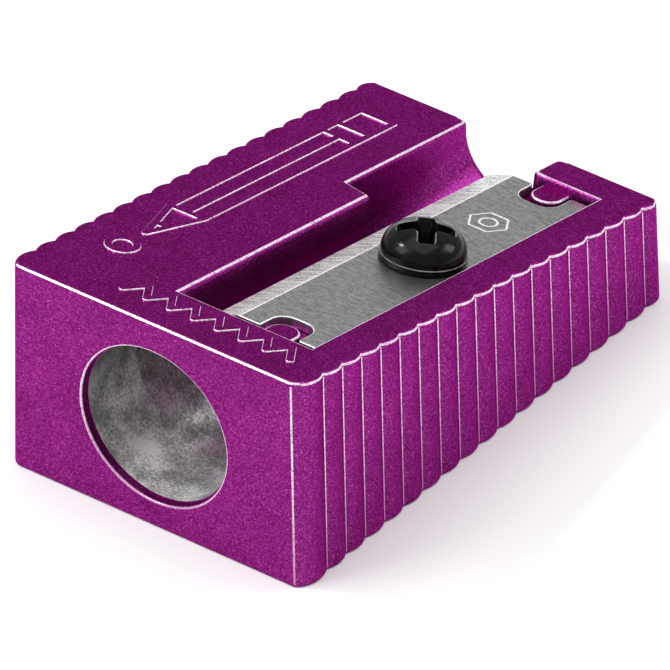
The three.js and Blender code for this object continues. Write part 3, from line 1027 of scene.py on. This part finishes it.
def head_blank():
    profile = [(0, 0), (HEAD_RADIUS - 0.06, 0), (HEAD_RADIUS, 0.06), (HEAD_RADIUS, HEAD_RIM - 0.03),
               (HEAD_RADIUS - 0.05, HEAD_RIM)]
    for i in range(1, 24):
        a = math.pi / 2 * i / 24
        across, rise = math.cos(a) ** (2 / DOME_FULLNESS), math.sin(a) ** (2 / DOME_FULLNESS)
        profile.append(((HEAD_RADIUS - 0.05) * across, HEAD_RIM + HEAD_DOME * rise))
    profile.append((0, HEAD_RIM + HEAD_DOME))
    # The chamfer at the top of the rim takes a painted highlight.
    return turned("head", profile, 96, screw_place, lambda band: RIM_HIGHLIGHT if band == 3 else OXIDE)


def dome_height(radius):
    """The height of the head's dome at a distance from its axis."""
    across = min(1.0, radius / (HEAD_RADIUS - 0.05))
    return HEAD_RIM + HEAD_DOME * (1 - across ** DOME_FULLNESS) ** (1 / DOME_FULLNESS)


def cross_outline(reach, half, grow):
    """The cross recess's outline, grown all round, with its long edges in short steps."""
    corners = []
    wide, far = half + grow, reach + grow
    for k in range(4):
        a = RECESS_TURN + math.pi / 2 * k
        c, s = math.cos(a), math.sin(a)
        for along, across, radius in ((far, -wide, 0.14 + grow), (far, wide, 0.14 + grow),
                                      (wide, wide, 0.28 - grow)):
            corners.append((along * c - across * s, along * s + across * c, radius))
    outline = [np.array(point[:2]) for point in rounded(corners, 5)]
    return [here + (after - here) * part / 4
            for here, after in zip(outline, outline[1:] + outline[:1]) for part in range(4)]


def recess_cutter():
    """The tapered cross recess, with a painted highlight on the chamfer where it meets the dome, and
    painted shade on its walls and floor.
    """
    floor_outline = cross_outline(RECESS_REACH * 0.6, RECESS_HALF * 0.7, 0)
    rings = [[screw_place(x, s, RECESS_FLOOR) for x, s in floor_outline]]
    for grow, drop in ((0, -0.07), (RECESS_CHAMFER, 0.003), (RECESS_CHAMFER, 0.6)):
        rings.append([
            screw_place(x, s, dome_height(math.hypot(x, s)) + drop)
            for x, s in cross_outline(RECESS_REACH, RECESS_HALF, grow)
        ])
    return loft("recess", rings, lambda band, side: RIM_HIGHLIGHT if band == 1 else RECESS_SHADE, (RECESS_SHADE, RECESS_SHADE))


def thread(length=SCREW_LENGTH, gap=0.0):
    """The shank with its helical thread, as one closed sweep, grown by a gap for the hole."""
    steps = 40
    rows = int(length / SCREW_PITCH * 10)
    rings = []
    for k in range(rows + 1):
        height = -length + (length + 0.1) * k / rows
        ring = []
        for i in range(steps):
            a = 2 * math.pi * i / steps
            phase = (height / SCREW_PITCH - a / (2 * math.pi)) % 1.0
            ridge = max(0.0, 1 - abs(phase - 0.5) * 2.6)
            fade = min(1.0, (height + length) / 0.4) * min(1.0, max(0.0, (-height - 0.25) / 0.3))
            radius = SCREW_RADIUS - THREAD_DEPTH + 0.95 * THREAD_DEPTH * ridge * fade + gap
            if height < -length + 0.25:
                radius -= 0.3 * (1 - (height + length) / 0.25)
            ring.append(screw_place(radius * math.cos(a), radius * math.sin(a), height))
        rings.append(ring)
    return loft("shank", rings)


def make_screw():
    FINISHES[:] = [
        screw_material("black_oxide", 0.002, 0.007, 0.16),
        # Paler metal: a painted highlight on the rim and on the recess's chamfer.
        screw_material("painted_rim_highlight", 0.07, 0.2, 0.5),
        # Near-black with little reflection: painted shade inside the cross recess.
        screw_material("recess_painted_shade", 0.001, 0.003, 0.03),
    ]
    screw = head_blank()
    combine(screw, recess_cutter())
    combine(screw, thread(), "UNION")
    smooth(screw, 40, weighted=False)
    screw.name = "black_screw"
    return screw


# ---------------------------------------------------------------- stage


def make_floor():
    material, tree, shader = new_material("pale_floor")
    noise = add_node(tree, "ShaderNodeTexNoise", {"Scale": 3.0})
    color = ramp(tree, noise.outputs["Fac"], [(0.3, grey(0.92)), (0.7, grey(0.94))])
    tree.links.new(color, shader.inputs["Base Color"])
    shader.inputs["Roughness"].default_value = 0.9
    size = 3000
    FINISHES[:] = [material]
    corners = [(-size, -size, 0), (size, -size, 0), (size, size, 0), (-size, size, 0)]
    mesh_object("floor", corners, [(0, 1, 2, 3)])


def area_light(name, azimuth, elevation, distance, size, power, target=(0, 0, 6)):
    """A soft box at an azimuth and elevation round the sharpener, in degrees and mm."""
    data = bpy.data.lights.new(name, "AREA")
    data.shape = "RECTANGLE"
    data.size, data.size_y = size[0] * MM, size[1] * MM
    data.energy = power
    light = bpy.data.objects.new(name, data)
    bpy.context.scene.collection.objects.link(light)
    a, e = math.radians(azimuth), math.radians(elevation)
    away = Vector((math.sin(a) * math.cos(e), -math.cos(a) * math.cos(e), math.sin(e)))
    light.location = (Vector(target) + away * distance) * MM
    light.rotation_euler = away.to_track_quat("Z", "Y").to_euler()


def make_lights():
    world = bpy.data.worlds.new("studio")
    bpy.context.scene.world = world
    world.use_nodes = True
    background = world.node_tree.nodes["Background"]
    background.inputs["Color"].default_value = (1, 1, 1, 1)
    background.inputs["Strength"].default_value = 0.5
    area_light("overhead", 0, 89, 900, (900, 900), 4.0)
    area_light("key", -40, 42, 300, (150, 150), 0.3)
    area_light("rim", 138, 32, 300, (120, 120), 0.25)
    area_light("spark", -62, 50, 300, (24, 24), 0.24)


CAMERA_AZIMUTH = 37.3
CAMERA_ELEVATION = 36.22
CAMERA_ROLL = -1.03
CAMERA_DISTANCE = 571.8
CAMERA_TARGET = (-0.15, 0.0, 2.43)
CAMERA_LENS = 654.8


def make_camera():
    data = bpy.data.cameras.new("camera")
    data.sensor_width = 36
    data.lens = CAMERA_LENS
    data.clip_start = 0.01
    data.clip_end = 20
    camera = bpy.data.objects.new("camera", data)
    bpy.context.scene.collection.objects.link(camera)
    a, e = math.radians(CAMERA_AZIMUTH), math.radians(CAMERA_ELEVATION)
    away = Vector((math.sin(a) * math.cos(e), -math.cos(a) * math.cos(e), math.sin(e)))
    camera.location = (Vector(CAMERA_TARGET) + away * CAMERA_DISTANCE) * MM
    roll = Matrix.Rotation(math.radians(CAMERA_ROLL), 3, "Z")
    camera.rotation_euler = (away.to_track_quat("Z", "Y").to_matrix() @ roll).to_euler()
    bpy.context.scene.camera = camera


bpy.context.scene.view_settings.view_transform = "Standard"
make_camera()
make_lights()
make_floor()

body = make_body()
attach(body, "body")
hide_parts("body")

blade = make_blade()
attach(blade, "blade")
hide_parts("blade")

screw = make_screw()
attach(screw, "screw")
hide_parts("screw")
